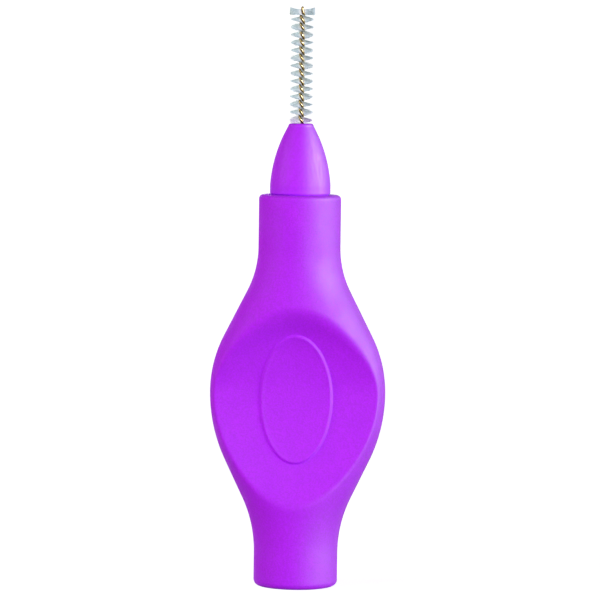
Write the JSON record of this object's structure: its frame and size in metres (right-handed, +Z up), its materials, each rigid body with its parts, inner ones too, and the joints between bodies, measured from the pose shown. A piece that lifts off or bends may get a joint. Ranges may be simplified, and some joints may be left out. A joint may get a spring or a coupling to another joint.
{
  "type": "interdental brush",
  "caption": "Interdental brush: soft waisted handle with thumb recesses, hard bullet nose, twisted wire and fans of nylon filaments.",
  "frame": {"origin": "centre of the flat foot of the handle's tail, on the axis of the wire", "axes": "+Z up along the wire from the foot to the brush tip, X across the width of the paddle, -Y out of the front thumb recess"},
  "size_m": [0.0182, 0.0096, 0.06],
  "materials": {
    "soft_grip": "satin purple elastomer with a fine moulded grain",
    "hard_insert": "smooth purple moulded plastic",
    "wire": "bright gold-coloured drawn wire",
    "filament": "clear white nylon filament"
  },
  "bodies": {
    "root": {"grip_handle": "soft_grip", "nose_cone": "hard_insert", "twisted_wire": "wire", "filament_fan_01": "filament", "filament_fan_02": "filament", "filament_fan_03": "filament", "filament_fan_04": "filament", "filament_fan_05": "filament", "filament_fan_06": "filament", "filament_fan_07": "filament", "filament_fan_08": "filament", "filament_fan_09": "filament", "filament_fan_10": "filament", "filament_fan_11": "filament", "filament_fan_12": "filament", "filament_fan_13": "filament", "filament_fan_14": "filament", "filament_fan_15": "filament"}
  },
  "joints": []
}
